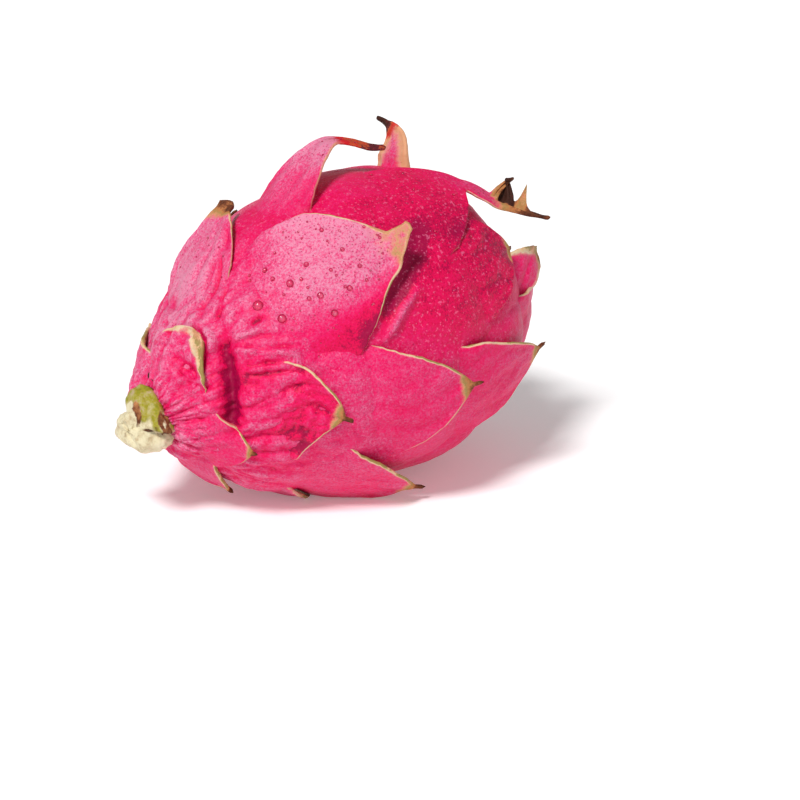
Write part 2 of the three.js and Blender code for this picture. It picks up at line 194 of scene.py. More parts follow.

# Creases (below 0) and ridges that the peel grew: height and half width in mm, the change of its bloom, and
# the points (along, around) that they run through. The last number, where there is one, is the lowest angle
# at which a scale that they shape has its base. The change of bloom is partly painted: it paints shade into
# the creases and light onto the ridges.
STROKES = [
    # Painted shade: the deep valley beside the fourth shoulder scale is coloured deep crimson as well as cut
    # in.
    (-3.6, 2.1, -1.1, [(46, -34), (43, -44), (40, -58), (37, -74), (35, -90), (33, -104)]),
    (-1.2, 1.2, -0.9, [(78, 26), (69, 10), (64, 0), (60, -6)]),
    (1.5, 1.1, 0.25, [(42, -6), (42, -19), (42, -30), (41, -37), (38, -38)]),
    (-1.2, 0.9, -0.7, [(42, -18), (40, -31), (35, -40)]),
    (-1.1, 0.6, -0.6, [(57, -15), (53, -18), (49, -23), (46, -28)]),
    (-1.2, 0.6, -0.6, [(61, 2), (57, -5), (52, -10), (47, -11), (44, -7)]),
    (-0.9, 0.6, -0.5, [(59, 1), (54, -2), (49, -5)]),
    (-0.9, 0.7, -0.5, [(61, 26), (57, 35), (51, 33)]),
    (-0.6, 0.6, -0.4, [(69, 38), (65, 39)]),
    (-1.0, 0.8, -0.5, [(58, 43), (53, 44), (47, 46)]),
    (-1.3, 0.9, -0.7, [(57, -41), (53, -41)]),
    (-0.7, 0.7, -0.3, [(54, -31), (49, -34)]),
    (-0.8, 0.6, -0.4, [(58, -51), (53, -47), (47, -43)]),
    (0.7, 0.6, 0.2, [(46, -42), (50, -43), (56, -46)]),
    (-1.1, 0.6, -0.6, [(47, -45), (53, -54), (62, -60)]),
    (1.1, 0.8, 0.3, [(44, -45), (50, -51), (58, -60), (60, -63), (60, -69)]),
    (-1.0, 0.6, -0.5, [(48, -59), (52, -60), (55, -63)]),
    (0.7, 0.6, 0.2, [(45, -59), (50, -62), (58, -66)]),
    (-0.9, 0.6, -0.5, [(44, -61), (48, -64), (54, -67), (59, -70)]),
    (-0.9, 0.7, -0.4, [(43, -65), (46, -68), (48, -67)]),
    (-0.8, 0.8, -0.4, [(52, -78), (54, -76), (58, -76)]),
    (-0.8, 0.7, -0.4, [(25, -16), (26, -32), (29, -46)]),
    (-0.8, 0.7, -0.4, [(21, -21), (22, -44), (26, -60)]),
    (-0.7, 0.7, -0.4, [(23, 35), (25, 6), (26, -11)]),
    (-0.8, 0.8, -0.4, [(40, 20), (36, 10)]),
    (-0.6, 0.6, -0.3, [(34, 4), (32, -6)]),
    # Painted shadow: deep crimson along the large lower scale's edge stands in for its cast shade, with a
    # shallow crease.
    (-1.6, 2.4, -1.2, [(107, -41), (103, -46), (98, -51), (94, -54), (90, -58), (86, -63)], 80),
    # A ridge painted paler, partly as painted light on its top.
    (1.6, 0.9, 0.7, [(83, -72), (87, -68), (91, -64), (97, -60)], 80),
    (-3.6, 6, -0.2, [(122, -24), (132, -32), (140, -40), (147, -50), (152, -62)], 120),
]
STROKE_REACH = 3.2  # half widths

# The stub's and the flower's outlines: radius and height in mm, from the root to the middle of the end.
STUB_OUTLINE = [
    (0, -5), (5.3, -5), (6.2, -1), (6.8, 1.5), (7, 3.5), (7, 5.2), (6.7, 6.6), (6.3, 7.8), (5.7, 8.8),
    (4.6, 9.6), (3, 9.5), (0, 9.3),
]
REMNANT_OUTLINE = [
    (0, -3), (3.6, -3), (3.6, 0.5), (2.6, 3), (2.0, 7), (1.9, 11), (2.4, 14.5), (2.7, 16.5), (1.9, 17),
    (1.3, 14), (0, 12),
]

# Dew: single drops as (share along, share across, radius in mm), and how many small ones lie on a scale.
BIG_DROPS = dict(
    lower_1=[
        (0.22, 0.32, 1.35), (0.26, 0.04, 1.1), (0.38, 0.29, 0.95), (0.34, 0.61, 0.7), (0.34, 0.46, 0.6),
        (0.49, 0.36, 0.7), (0.64, 0.71, 0.6), (0.45, -0.04, 0.8), (0.4, 0.02, 0.6), (0.45, -0.36, 0.9),
        (0.68, -0.04, 0.6), (0.43, 0.24, 0.5), (0.66, 0.32, 0.6), (0.56, 0.14, 0.5), (0.58, -0.25, 0.7),
    ],
)
SMALL_DROPS = dict(lower_1=110, upper_1=30, middle_1=12, shoulder_1=12, outer_4=10, shoulder_4=6)
BIG_DROP = 0.6
DEW_SEED = 7


# ---- helpers ----
def mix(a, b, t):
    return a + (b - a) * t


def clamp(x, low=0.0, high=1.0):
    return min(high, max(low, x))


def smooth(low, high, x):
    t = clamp((x - low) / (high - low))
    return t * t * (3 - 2 * t)


def draw(a, b):
    """A fixed number from -1 to 1 for each pair of seeds, the same as in the solids."""
    x = math.sin(a * 12.9898 + b * 78.233) * 43758.5453
    return 2 * (x - math.floor(x)) - 1


def wrapped(angle):
    return math.atan2(math.sin(angle), math.cos(angle))


def rough(x, y, z):
    return noise.noise(Vector((x, y, z)))


def creased(x, y, z):
    """Soft pillows with sharp creases between them, from -0.6 in a crease to 0.4 on a pillow."""
    return min(1.0, 2.8 * abs(rough(x, y, z))) - 0.6


def ridged(x, y, z):
    """Sharp ridges with broad valleys between them, from -0.7 in a valley to 0.3 on a ridge."""
    return 0.3 - min(1.0, 2.4 * abs(rough(x, y, z)))


def turned(turns, u):
    return sum(math.radians(degrees) * smooth(low, high, u) for low, high, degrees in turns)


KEY_WAY = Vector((-0.64, -0.3, 0.92)).normalized()  # the way to the lamp
AXIS = Vector((math.cos(math.radians(TILT)), 0, math.sin(math.radians(TILT))))
SIDE = Vector((0, 1, 0))
UP = AXIS.cross(SIDE)


# ---- the body's plain surface ----
def profile(along):
    slope = STEM_SLOPE * math.sin(2 * along) ** 2 if along < math.pi / 2 else 0
    out = RADIUS * math.sin(along) * (1 - STEM_TAPER * math.cos(along)) - slope
    navel = math.exp(-2 * (out / NAVEL_RADIUS) ** 2) if along > math.pi / 2 else 0
    return out, -HALF_LENGTH * math.cos(along) - NAVEL_DEPTH * navel


def radial_at(around):
    return UP * math.cos(around) + SIDE * math.sin(around)


class BodyFrame:
    """The plain body's point, two tangents and normal at two angles in radians."""

    def __init__(self, along, around):
        step = 1e-4
        self.out, ahead = profile(along)
        out_next, ahead_next = profile(along + step)
        self.radial = radial_at(around)
        self.point = CENTRE + AXIS * ahead + self.radial * self.out
        self.speed = math.hypot(out_next - self.out, ahead_next - ahead) / step
        self.tangent = (self.radial * (out_next - self.out) + AXIS * (ahead_next - ahead)).normalized()
        self.cross = radial_at(around + math.pi / 2)
        self.normal = self.tangent.cross(self.cross)


def angles_of(point):
    """The two angles in radians at which a point near the body lies."""
    from_middle = point - CENTRE
    along = math.acos(clamp(-from_middle.dot(AXIS) / HALF_LENGTH, -1, 1))
    return along, math.atan2(from_middle.dot(SIDE), from_middle.dot(UP))


def pressed(point):
    """Presses what comes close to the surface flat, as the fruit's own weight does."""
    softened = point.z + FLOOR_PRESS - FLOOR_SOFTENING
    if softened < 0:
        point.z = max(0, FLOOR_SOFTENING * math.exp(softened / FLOOR_SOFTENING) - FLOOR_PRESS)
    return point


def skin_relief(along, around):
    """The folds of the peel itself: their height in mm and how pale they are, darker in creases and paler on
    pillows, partly the bloom and partly painted shade and light. Most are at the stem's side.
    """
    stem_side = 1 - smooth(math.radians(35), math.radians(80), along)
    closing = smooth(0, math.radians(8), along)
    x, y, z = 3.6 * math.cos(around), 3.6 * math.sin(around), along * 2
    bend = 0.5 * rough(x / 2, y / 2, z + 7)
    long_folds = creased(x + bend, y, z)
    small_folds = creased(2.3 * x, 2.3 * y + bend, 2.5 * z)
    lumps = creased(2 * x + bend, 2 * y, 4.5 * z)
    height = mix(0.2, 1.0, stem_side) * long_folds + mix(0.08, 0.4, stem_side) * small_folds
    height += mix(0.02, 0.35, stem_side) * lumps
    # Painted shade in the creases and painted light on the pillows, partly the bloom.
    tone = 0.3 * long_folds + 0.3 * small_folds + 0.3 * lumps
    return closing * height, closing * mix(0.2, 1, stem_side) * tone


def skin_bloom(along):
    """How pale the peel is between the scales: pink towards the stem and crimson towards the flower."""
    return mix(0.55, 0.05, smooth(math.radians(35), math.radians(85), along))


# ---- a scale's shape ----
class Scale:
    """One scale, by its row's rule with small seeded differences, or as it specially grew."""

    def __init__(self, row, row_index, i):
        vary = (lambda k: draw(row_index * 7 + i, k)) if i > 0 else (lambda k: 0)
        grown = dict(
            around=row["around"] + 360 / row["count"] * i + VARIETY["around"] * vary(1),
            along=row["along"] + VARIETY["along"] * vary(2),
            length=row["length"] * (1 + VARIETY["length"] * vary(3)),
            width=row["width"] * (1 + VARIETY["width"] * vary(4)),
            bloom=row.get("bloom", COMMON["bloom"]) + VARIETY["bloom"] * vary(5),
            name=f"{row['name']}_{i + 1}",
            seed=10 * row_index + i,
        )
        self.__dict__.update({**COMMON, **row, **grown, **SPECIAL.get(grown["name"], {})})
        self.lobes = [{**LOBE, **lobe} for lobe in self.lobes]
        big = self.length > 26
        self.rows = round((44 if big else 30) * self.fine)
        self.flat_columns = round((14 if big else 10) * self.fine)
        self.columns = self.flat_columns + RIM_STEPS
        self.frames = self.spine()

    def spine(self):
        """The middle line, as a frame at each row from base to tip."""
        around = math.radians(self.around)
        along = math.radians(self.along)
        step = self.length / self.rows
        start = BodyFrame(along, around)
        place = start.point + start.normal * (self.rise - 0.5)
        frames = []
        for i in range(self.rows + 1):
            u = i / self.rows
            body = BodyFrame(min(along, math.radians(168)), around)
            bend, sway, twist = turned(self.bends, u), turned(self.sways, u), turned(self.twists, u)
            ahead = body.tangent * math.cos(bend) + body.normal * math.sin(bend)
            tangent = ahead * math.cos(sway) + body.cross * math.sin(sway)
            level = body.cross * math.cos(sway) - ahead * math.sin(sway)
            upright = body.normal * math.cos(bend) - body.tangent * math.sin(bend)
            cross = level * math.cos(twist) + upright * math.sin(twist)
            normal = upright * math.cos(twist) - level * math.sin(twist)
            across = body.out / max(0.35, upright.dot(body.radial))
            frames.append((place.copy(), tangent, cross, normal, across, along))
            place += tangent * step
            along += step * math.cos(min(bend, 1.2)) / body.speed
        return frames

    def frame_at(self, distance):
        """The frame at any distance from the base."""
        row = clamp(distance / self.length) * self.rows
        first = min(int(row), self.rows - 1)
        share = row - first
        return [mix(a, b, share) for a, b in zip(self.frames[first], self.frames[first + 1])]

    def half_width(self, u, side):
        blade = max(0, 1 - (u / self.blade) ** self.fullness) ** BLADE_END
        blade *= mix(BASE_WIDTH, 1, smooth(0, 0.25, u))
        strap = self.strap / 2 * max(0.03, 1 - u) ** self.taper
        ragged = 1 + 0.06 * rough(u * 7, side * 3, self.seed) + 0.025 * rough(u * 30, side * 3, self.seed)
        end = clamp((1 - u) * self.length / END_ROUNDING)
        rounding = math.sqrt(1 - (1 - end) ** 2)
        half = math.hypot(self.width / 2 * (1 + side * self.skew) * blade, strap) * ragged * rounding
        for lobe, strength in self.lobes_at(u, side):
            half += lobe["wide"] * strength
        return max(1e-3, half)

    def lobes_at(self, u, side):
        """The lobes that act at a share of the length on one side, each with its strength from 0 to 1."""
        acting = []
        for lobe in self.lobes:
            away = abs(u - lobe["at"]) * self.length / lobe["long"]
            if lobe["side"] == side and away < 3:
                acting.append((lobe, math.exp(-(away ** lobe["power"]))))
        return acting

    def point(self, row, column, face, peel):
        """The point and finish at a row and column, on the outer (1) or inner (-1) face."""
        u = row / self.rows
        side = 1 if column > 0 else -1
        half = self.half_width(u, side)
        before, after = max(0, u - NEARBY), min(1, u + NEARBY)
        slope = self.half_width(after, side) - self.half_width(before, side)
        slope = clamp(slope / (2 * NEARBY * self.length), -4, 4)
        steep = math.hypot(1, slope)
        free = smooth(0, 0.5, u)

        # Where the point lies on the flat blade, with a round rim.
        thinning = EDGE_THINNING * free * (column / self.columns) ** 2
        thick = mix(TIP_THICKNESS, BASE_THICKNESS, (1 - u) ** 2.5) * (1 - thinning)
        rim = min(0.5 * thick, 0.45 * half)
        steps = abs(column)
        if steps <= self.flat_columns:
            y = side * (half - rim) * steps / self.flat_columns
            fullness = 1
        else:
            turn = (steps - self.flat_columns) / RIM_STEPS * math.pi / 2
            y = side * (half - rim * (1 - math.sin(turn)))
            fullness = math.cos(turn)
        end = min(1, (1 - u) * self.length / END_ROUNDING, u * self.length / END_ROUNDING)
        fullness *= math.sqrt(1 - (1 - end) ** 2)
        v = y / half
        distance = u * self.length

        # Rolled edges move it over the flat blade and up from it, and tilt it.
        moved = Vector((distance, y))
        tilt = Vector((0, 0))
        rise = 0
        lobes = self.lobes_at(u, side)
        roll = sum(lobe["roll"] * strength for lobe, strength in lobes)
        curl = math.radians((self.curls[0] if side < 0 else self.curls[1]) * smooth(0.25, 0.6, u) + roll)
        rolled = clamp(roll / FULL_ROLL)
        curl_width = min(mix(self.curl_width, half, rolled), mix(0.45, 0.9, rolled) * half)
        beyond = curl_width - (half - abs(y)) / steep
        if beyond > 0 and curl > 0:
            facing = Vector((-slope, side)) / steep
            angle = curl * beyond / curl_width
            radius = curl_width / curl
            moved += facing * (radius * math.sin(angle) - beyond)
            rise += radius * (1 - math.cos(angle))
            tilt += facing * angle

        # The blade follows the spine and arches across it.
        place, tangent, cross, normal, across, along = self.frame_at(moved.x)
        cup = mix(CUP[0], CUP[1], u * 2) if u < 0.5 else mix(CUP[1], CUP[2], u * 2 - 1)
        curve = cup / across
        arch = moved.y * curve
        lift = (math.cos(arch) - 1) / curve - (self.rise + SINK) * (1 - free) * v * v
        sideways = cross * math.cos(arch) - normal * math.sin(arch)
        upright = normal * math.cos(arch) + cross * math.sin(arch)

        # Long ridges, small wrinkles and wavy edges.
        x, y_fine = distance / 30, y / 7
        wrap = 0.6 * rough(distance / 14, y / 14, self.seed)
        ridge = creased(y_fine + wrap, x, self.seed)
        wrinkle = ridged(y / 4.2 + wrap, distance / 7, self.seed + 5)
        pucker = creased(y / 2.3 + wrap, distance / 3, self.seed + 8)
        own = (self.ridges * ridge + self.crumple * (wrinkle + 0.35 * pucker)) * (1 - 0.6 * abs(v) ** 4)
        wave = self.wave * free * abs(v) ** 3 * rough(u * 4.5, side * 2.3, self.seed + 0.5)

        turn = tilt.length
        outward = upright * math.cos(turn)
        if turn > 0:
            outward -= (tangent * tilt.x + sideways * tilt.y) * (math.sin(turn) / turn)
        depth = 0.5 * thick * (fullness * face - 1)
        spot = place + cross * (math.sin(arch) / curve) + normal * lift + upright * (rise + wave)
        spot += outward * (own * smooth(0.08, 0.35, u) + depth)

        # The base lies in the peel and grows out of it.
        skin, skin_normal, skin_tone, drawn, drawn_bloom_and_shading = peel.at(*angles_of(spot), self.along)
        grown = smooth(0.1, 0.4, u)
        spot += skin_normal * drawn * (1 - smooth(0.6, 0.9, u))
        spot = mix(skin + skin_normal * (depth - UNDER_SKIN), spot, grown)

        edge = (half - abs(y)) / steep
        reach = (self.margins[0] if side < 0 else self.margins[1]) + (0 if face > 0 else 2.5)
        reach *= smooth(self.creamed - 0.1, self.creamed + 0.3, u)
        margin = 1 - smooth(0, max(0.01, reach), edge)
        dry = smooth(1 - self.dry * 1.6, 1 - self.dry * 0.4, u)
        dry *= 1 - sum(lobe["wither"] * min(1, 3 * strength) for lobe, strength in lobes)
        # Paler on the ridges and darker in the creases and wrinkles: partly the bloom, partly painted light
        # and shade.
        own_bloom = self.bloom * (1 + self.lean * v) + 0.3 * ridge * min(1, self.ridges)
        own_bloom += self.crumple * (0.35 * wrinkle + 0.3 * pucker)
        # The lower corner of the base is made deeper: partly its own crimson, partly painted shade.
        corner_crimson_and_shade_mask = smooth(0.35, 1, 0.5 - 0.6 * v - 0.8 * (u - 0.3))
        # The drawn strokes add painted shade in creases and painted light on ridges.
        own_bloom += drawn_bloom_and_shading * (1 - smooth(0.6, 0.9, u))
        own_bloom += self.paling * smooth(0.45, 0.8, u) - self.fall * corner_crimson_and_shade_mask
        apart = smooth(0.1, 0.5, u) * (1 - (1 - smooth(0.25, 0.6, u)) * smooth(0.4, 1, abs(v)))
        tone = (mix(skin_tone, own_bloom, apart), margin, dry * self.wither)
        return pressed(spot), tone, (y + 37 * self.seed, distance, 0 if face > 0 else 1)


class Stroke:
    """A drawn crease or ridge."""

    def __init__(self, height, width, tone, points, least=0):
        self.height, self.width, self.tone, self.least = height, width, tone, least
        self.points = [(math.radians(along), math.radians(around)) for along, around in points]
        margin = math.radians(STROKE_REACH * width / 0.6)
        self.first = min(along for along, around in self.points) - margin
        self.last = max(along for along, around in self.points) + margin

    def strength(self, here, along, around):
        """From 0 to 1: how strongly it acts at two angles in radians."""
        if not self.first < along < self.last:
            return 0
        reach = STROKE_REACH * self.width
        flat = []
        for at_along, at_around in self.points:
            flat.append(((at_along - along) * here.speed, wrapped(at_around - around) * here.out))
        if min(abs(y) for x, y in flat) > 12:
            return 0
        nearest = reach
        place = 0
        for k, ((x0, y0), (x1, y1)) in enumerate(zip(flat, flat[1:])):
            dx, dy = x1 - x0, y1 - y0
            share = clamp(-(x0 * dx + y0 * dy) / (dx * dx + dy * dy))
            distance = math.hypot(x0 + dx * share, y0 + dy * share)
            if distance < nearest:
                nearest = distance
                place = (k + share) / (len(flat) - 1)
        if nearest >= reach:
            return 0
        fading = smooth(0, 0.25, place) * (1 - smooth(0.75, 1, place))
        return math.exp(-((nearest / self.width) ** 2)) * mix(0.35, 1, fading)


class Peel:
    """The skin between the scales, which their bases lift."""

    def __init__(self, scales):
        self.scales = [(math.radians(s.along), math.radians(s.around), s) for s in scales]
        self.strokes = [Stroke(*stroke) for stroke in STROKES]

    def at(self, along, around, owner=180):
        """The skin's point, normal and bloom at two angles in radians, and what was drawn of both. The bloom
        holds painted shade in creases and painted light on ridges and pillows.

        owner is the angle at which the scale that asks has its base, as some strokes pass under lower scales.
        """
        here = BodyFrame(along, around)
        lift, weights, bloom = 0, 0.15, 0.15 * skin_bloom(along)
        for base_along, base_around, s in self.scales:
            ahead = (along - base_along) * here.speed / s.length
            if not -0.55 < ahead < 0.9:
                continue
            aside = wrapped(around - base_around) * here.out / (s.width / 2)
            if abs(aside) > 1.6:
                continue
            swell = smooth(-0.55, 0.06, ahead) * math.exp(-(aside**4))
            lift = max(lift, s.rise * swell * (1 - smooth(0.12, 0.5, ahead)))
            weight = swell * (1 - smooth(0.4, 0.9, ahead))
            weights += weight
            bloom += weight * min(s.bloom, skin_bloom(along) + 0.3)
        # The folds add painted shade in their creases and painted light on their pillows.
        folds, fold_bloom_and_shading = skin_relief(along, around)
        # The strokes add painted shade in their creases and painted light on their ridges, on top of the
        # bloom.
        drawn = drawn_bloom_and_shading = 0
        for stroke in self.strokes:
            strength = stroke.strength(here, along, around) if owner >= stroke.least else 0
            drawn += stroke.height * strength
            drawn_bloom_and_shading += stroke.tone * strength
        spot = here.point + here.normal * (lift + folds + drawn)
        return spot, here.normal, bloom / weights + fold_bloom_and_shading + drawn_bloom_and_shading, drawn, drawn_bloom_and_shading


# ---- meshes ----
def finished(bm, name, material):
    """Turns a mesh in millimetres into a piece of the fruit, in metres."""
    bmesh.ops.recalc_face_normals(bm, faces=bm.faces)
    bmesh.ops.scale(bm, vec=(MM, MM, MM), verts=bm.verts)
    for face in bm.faces:
        face.smooth = True
    mesh = bpy.data.meshes.new(name)
    bm.to_mesh(mesh)
    bm.free()
    mesh.materials.append(material)
    piece = bpy.data.objects.new(name, mesh)
    bpy.context.scene.collection.objects.link(piece)
    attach(piece, "root")
    return piece


def with_finish_layers(bm):
    """Layers: (bloom with painted shade and light, margin, dry), (mm across, mm along, inner side) and
    (mottle, painted glints, redness).
    """
    return [bm.verts.layers.float_vector.new(name) for name in ("tone", "place", "pattern")]


def add_face(bm, s, face, skin):
    """One face of a scale: a grid moved to the scale's surface."""
    tone, place, pattern = [bm.verts.layers.float_vector[name] for name in ("tone", "place", "pattern")]
    made = bmesh.ops.create_grid(bm, x_segments=2 * s.columns, y_segments=s.rows, size=1)["verts"]
    for vert in made:
        column = round(vert.co.x * s.columns)
        row = round((vert.co.y + 1) / 2 * s.rows)
        vert.co, vert[tone], vert[place] = s.point(row, column, face, skin)
        vert[pattern] = (s.mottle, s.specks, s.redness)
    if face < 0:
        bmesh.ops.reverse_faces(bm, faces=list({f for vert in made for f in vert.link_faces}))
    return made


def scales_piece(row_name, scales, skin, material):
    bm = bmesh.new()
    with_finish_layers(bm)
    for s in scales:
        both = add_face(bm, s, 1, skin) + add_face(bm, s, -1, skin)
        bmesh.ops.remove_doubles(bm, verts=both, dist=1e-3)
    return finished(bm, f"scales_{row_name}", material)


def body_piece(skin, material):
    """The body, lifted at the scales' bases and creased between them."""
    bm = bmesh.new()
    tone, place, pattern = with_finish_layers(bm)
    bmesh.ops.create_uvsphere(bm, u_segments=BODY_SIDES, v_segments=BODY_RINGS, radius=1)
    for vert in bm.verts:
        along = math.acos(clamp(-vert.co.z, -1, 1))
        around = math.atan2(vert.co.y, vert.co.x)
        spot, normal, bloom, drawn, drawn_bloom_and_shading = skin.at(along, around)
        vert.co = pressed(spot)
        vert[tone] = (bloom, 0, 0)
        vert[place] = (around * 38, along * 45, 0)
        stem_side = 1 - smooth(math.radians(40), math.radians(80), along)
        # More painted glints towards the flower end, more mottle towards the stem.
        vert[pattern] = (mix(0.3, 1, stem_side), mix(1, 0.2, stem_side), 0)
    return finished(bm, "peel_body", material)


def outline_at(outline, share):
    """The radius and height at a share of the way along a smooth line through an outline's points."""
    reach = share * (len(outline) - 1)
    k = min(int(reach), len(outline) - 2)
    t = reach - k
    before, start = Vector(outline[max(0, k - 1)]), Vector(outline[k])
    end, after = Vector(outline[k + 1]), Vector(outline[min(len(outline) - 1, k + 2)])
    curve = start * 2 + (end - before) * t + (before * 2 - start * 5 + end * 4 - after) * t**2
    return (curve + (start * 3 - before - end * 3 + after) * t**3) / 2


def grown_turning(outline, sides, rings, base, outwards, way, bend, change, material, name):
    """A turned outline that bends towards way. change returns each point's new radius, height and tone."""
    bm = bmesh.new()
    tone = bm.verts.layers.float_vector.new("tone")
    bmesh.ops.create_uvsphere(bm, u_segments=sides, v_segments=rings, radius=1)
    side = outwards.cross(way)
    top = max(height for radius, height in outline)
    for vert in bm.verts:
        share = math.acos(clamp(-vert.co.z, -1, 1)) / math.pi
        angle = math.atan2(vert.co.y, vert.co.x)
        radius, height = outline_at(outline, share)
        radius, height, vert[tone] = change(max(0, radius), height, angle, share)
        turn = max(1e-6, math.radians(bend) * height / top)
        inwards = radius * math.cos(angle)
        reach = math.sin(turn) / turn * height - inwards * math.sin(turn)
        drift = (1 - math.cos(turn)) / turn * height + inwards * math.cos(turn)
        vert.co = base + outwards * reach + way * drift - side * radius * math.sin(angle)
    return finished(bm, name, material)


def stub_piece():
    """The stub of the three-ribbed cactus stem: a green lobe on top, and under it a pale cut one."""

    def change(radius, height, angle, share):
        x, y = math.cos(angle), math.sin(angle)
        toward_lobe = math.cos(angle - 0.4) + 0.12 * rough(2 * x, 2 * y, 4)
        border = 7.2 * smooth(0, 0.6, toward_lobe) + 0.9 * rough(1.5 * x, 1.5 * y, 6)
        inside = height - border
        lobe = (1 - smooth(-1, 0.3, inside)) * smooth(0, 0.35, toward_lobe)
        notch = math.exp(-((inside / 0.7) ** 2)) * smooth(-0.1, 0.3, toward_lobe)
        bumps = 0.09 * rough(2 * x, 2 * y, height / 3) + 0.05 * rough(5 * x, 5 * y, height)
        swollen = 0.24 * lobe * math.exp(-(((height - 3.2) / 3.2) ** 2))
        flap = 0.45 * math.exp(-((wrapped(angle + 2) / 0.22) ** 2) - ((height - 8.4) / 1.1) ** 2)
        shoulder = 0.42 * smooth(-0.4, 1.2, inside) * smooth(-0.1, 0.7, toward_lobe)
        radius *= 1 + STUB_RIBS * math.cos(3 * angle) + swollen - 0.16 * notch + bumps + flap - shoulder
        end = smooth(0.82, 0.88, share)
        height += end * (0.9 * rough(2 * x, 2 * y, 3) - 0.5 * x)
        green = lobe * (1.15 - 0.6 * smooth(0.3, 0.9, y))
        green += 0.5 * rough(3 * x, 3 * y, height / 2 + 9) - 0.3 * end
        root = (1 - smooth(0.8, 2.4, height)) * smooth(-0.2, 0.4, x)
        side_scar = 1.1 * math.exp(-((wrapped(angle - 1.4) / 0.5) ** 2) - ((height - 2.6) / 2.6) ** 2)
        side_scar *= 0.75 + 1.3 * rough(3 * x, 3 * y, height * 0.9)
        split = notch * (0.8 + 1.4 * rough(2 * x, 2 * y, height / 2)) * smooth(-0.5, 0.5, y)
        scar = max(split, 0.9 * root, side_scar)
        return radius, height, (clamp(green + 0.6 * flap), clamp(scar), end)

    base = BodyFrame(0, 0).point
    return grown_turning(
        STUB_OUTLINE, 90, 110, base, -AXIS, UP, 0, change, stub_material(), "stem_stub_skin"
    )


def remnant_piece():
    """The withered base of the flower: a shrivelled dark tube, torn open at its end."""

    def change(radius, height, angle, share):
        x, y = math.cos(angle) * 1.6, math.sin(angle) * 1.6
        folds = 0.3 * creased(1.5 * x, 1.5 * y, height / 9) + 0.1 * rough(4 * x, 4 * y, height / 3)
        torn = smooth(0.6, 0.8, share)
        height += torn * (1.4 * rough(2 * x, 2 * y, 5))
        return radius * (1 + folds), height, (clamp(0.5 + folds), 0, torn)

    base = BodyFrame(math.pi, 0).point
    way = radial_at(math.radians(REMNANT_WAY))
    husk = husk_material()
    return grown_turning(
        REMNANT_OUTLINE, 60, 80, base, AXIS, way, REMNANT_BEND, change, husk, "flower_husk"
    )


def add_drop(bm, tone, s, skin, u, v, radius):
    """One drop of dew on a scale's outer face, with a painted dark rim and painted light gathered at the top
    and at the side away from the lamp.
    """
    row, column = u * s.rows, v * s.flat_columns
    spot = s.point(row, column, 1, skin)[0]
    ahead = s.point(row + 0.2, column, 1, skin)[0] - spot
    aside = s.point(row, column + 0.2, 1, skin)[0] - spot
    upward = ahead.cross(aside).normalized()
    if upward.dot(spot - CENTRE) < 0:
        upward = -upward
    sides, rings = (20, 12) if radius > BIG_DROP else (8, 5)
    turn = upward.to_track_quat("Z", "Y").to_matrix()
    made = bmesh.ops.create_uvsphere(bm, u_segments=sides, v_segments=rings, radius=radius)
    for vert in made["verts"]:
        flat = turn @ Vector((vert.co.x, vert.co.y, vert.co.z * 0.75))
        # Painted light and shade: dark at the rim, pale at the top and on the side away from the lamp.
        vert[tone] = (clamp(vert.co.z / radius) ** 2 - 0.45 * flat.dot(KEY_WAY) / radius, 0, 0)
        vert.co = spot + flat + upward * (0.15 * radius)


def dew_piece(scales, skin):
    chance = random.Random(DEW_SEED)
    bm = bmesh.new()
    tone = bm.verts.layers.float_vector.new("tone")
    for name, drops in BIG_DROPS.items():
        for u, v, radius in drops:
            add_drop(bm, tone, scales[name], skin, u, v, radius)
    for name, count in SMALL_DROPS.items():
        for _ in range(count):
            u, v = chance.uniform(0.18, 0.85), chance.uniform(-0.9, 0.9)
            add_drop(bm, tone, scales[name], skin, u, v, mix(0.14, 0.45, chance.random() ** 3))
    return finished(bm, "dew_drops", dew_material())


